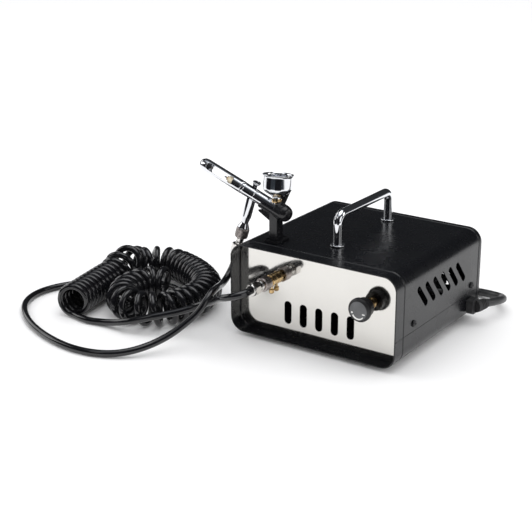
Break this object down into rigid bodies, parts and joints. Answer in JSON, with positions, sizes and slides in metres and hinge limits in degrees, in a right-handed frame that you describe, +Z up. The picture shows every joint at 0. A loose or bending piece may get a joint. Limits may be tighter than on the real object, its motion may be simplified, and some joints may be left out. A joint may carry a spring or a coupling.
{
  "type": "airbrush compressor",
  "caption": "Small piston airbrush compressor: sheet-steel case with carry handle, front air outlet and pressure knob, airbrush in its holder, curly air hose and mains lead with plug.",
  "frame": {"origin": "middle of the footprint of the compressor with its airbrush, at floor level under the feet", "axes": "+X to the case's right seen from the front, -Y to the front (mirror panel, outlet and knob), +Z up; the hoses lie to -X and the mains lead behind at +Y"},
  "size_m": [0.3932, 0.4014, 0.1457],
  "materials": {
    "black_paint": "satin black powder coat",
    "mirror_steel": "mirror-polished stainless steel",
    "chrome": "bright chrome plate",
    "satin_nickel": "satin nickel plate, finely knurled",
    "brass": "bare brass",
    "zinc_steel": "zinc-plated steel",
    "cast_aluminium": "as cast",
    "copper_wire": "enamelled copper wire",
    "black_plastic": "moulded, half gloss",
    "black_rubber": "matt",
    "hose_polyurethane": "glossy",
    "lead_pvc": "satin"
  },
  "bodies": {
    "case": {"top_cover": "black_paint", "bottom_tray": "black_paint", "rear_panel": "black_paint", "front_panel": "mirror_steel", "carry_handle": "chrome", "handle_washer_front": "chrome", "handle_washer_rear": "chrome", "outlet_tail": "chrome", "outlet_hose_nut": "chrome", "airbrush_body": "chrome", "nozzle_cap": "chrome", "airbrush_handle": "chrome", "paint_cup": "chrome", "air_valve_body": "chrome", "brush_tail": "chrome", "brush_hose_nut": "chrome", "outlet_fitting": "brass", "handle_screw_front": "zinc_steel", "handle_screw_rear": "zinc_steel", "holder_screw": "zinc_steel", "motor_stator": "zinc_steel", "motor_bracket": "zinc_steel", "bearing_left": "zinc_steel", "bearing_right": "zinc_steel", "regulator_body": "cast_aluminium", "cylinder": "cast_aluminium", "cylinder_head": "cast_aluminium", "motor_windings": "copper_wire", "side_screw_left_front": "black_plastic", "side_screw_left_rear": "black_plastic", "side_screw_right_front": "black_plastic", "side_screw_right_rear": "black_plastic", "airbrush_holder": "black_plastic", "switch_housing": "black_plastic", "mains_plug": "black_plastic", "rubber_foot_1": "black_rubber", "rubber_foot_2": "black_rubber", "rubber_foot_3": "black_rubber", "rubber_foot_4": "black_rubber", "delivery_tube": "black_rubber", "mains_gland": "black_rubber", "supply_hose": "hose_polyurethane", "curly_hose": "hose_polyurethane", "brush_hose": "hose_polyurethane", "mains_lead": "lead_pvc", "mains_coil": "lead_pvc"},
    "knob": {"pressure_knob": "black_plastic", "regulator_stem": "brass"},
    "outlet_sleeve": {"outlet_sleeve": "satin_nickel"},
    "brush_sleeve": {"brush_sleeve": "satin_nickel"},
    "bleed_screw": {"bleed_screw": "brass"},
    "air_piston": {"air_valve_piston": "brass"},
    "trigger": {"trigger": "chrome"},
    "needle": {"needle": "zinc_steel", "needle_chuck": "brass"},
    "rotor": {"rotor_shaft": "zinc_steel", "cooling_fan": "black_plastic", "crank": "zinc_steel"},
    "piston": {"piston_rod": "cast_aluminium"},
    "rocker": {"switch_rocker": "black_plastic"}
  },
  "joints": [
    {"name": "knob_turn", "type": "hinge", "parent": "case", "child": "knob", "pos_m": [0.0818, -0.068, 0.0526], "axis": [0, -1, 0], "range_deg": [-135, 135]},
    {"name": "outlet_sleeve_slide", "type": "slide", "parent": "case", "child": "outlet_sleeve", "axis": [0, 1, 0], "range_m": [0, 0.003], "stiffness_N_per_m": 1500, "springref_m": -0.001},
    {"name": "brush_sleeve_slide", "type": "slide", "parent": "case", "child": "brush_sleeve", "axis": [-0.2468, -0.0898, -0.9649], "range_m": [0, 0.003], "stiffness_N_per_m": 1500, "springref_m": -0.001},
    {"name": "bleed_turn", "type": "hinge", "parent": "case", "child": "bleed_screw", "pos_m": [-0.0138, -0.0582, 0.046], "axis": [0, 0, -1], "range_deg": [0, 360]},
    {"name": "air_press", "type": "slide", "parent": "case", "child": "air_piston", "axis": [-0.2468, -0.0898, -0.9649], "range_m": [0, 0.002], "stiffness_N_per_m": 1200, "springref_m": -0.001},
    {"name": "trigger_pull", "type": "hinge", "parent": "air_piston", "child": "trigger", "pos_m": [-0.05021, -0.03455, 0.11966], "axis": [-0.1753, -0.9751, 0.1356], "range_deg": [0, 20]},
    {"name": "needle_slide", "type": "slide", "parent": "case", "child": "needle", "axis": [-0.9531, 0.2026, 0.225], "range_m": [0, 0.003], "stiffness_N_per_m": 400, "springref_m": -0.0012},
    {"name": "rotor_spin", "type": "hinge", "parent": "case", "child": "rotor", "pos_m": [0.0541, 0.0243, 0.044], "axis": [1, 0, 0], "continuous": true},
    {"name": "piston_swing", "type": "hinge", "parent": "rotor", "child": "piston", "pos_m": [0.0046, 0.0243, 0.0465], "axis": [1, 0, 0], "continuous": true},
    {"name": "switch_rock", "type": "hinge", "parent": "case", "child": "rocker", "pos_m": [-0.0109, 0.0795, 0.054], "axis": [0, 0, 1], "range_deg": [-18, 0]}
  ],
  "couplings": [
    {"joint": "trigger_pull", "follows": "needle_slide", "rad_per_m": 116.35},
    {"joint": "piston_swing", "follows": "rotor_spin", "ratio": -1}
  ]
}
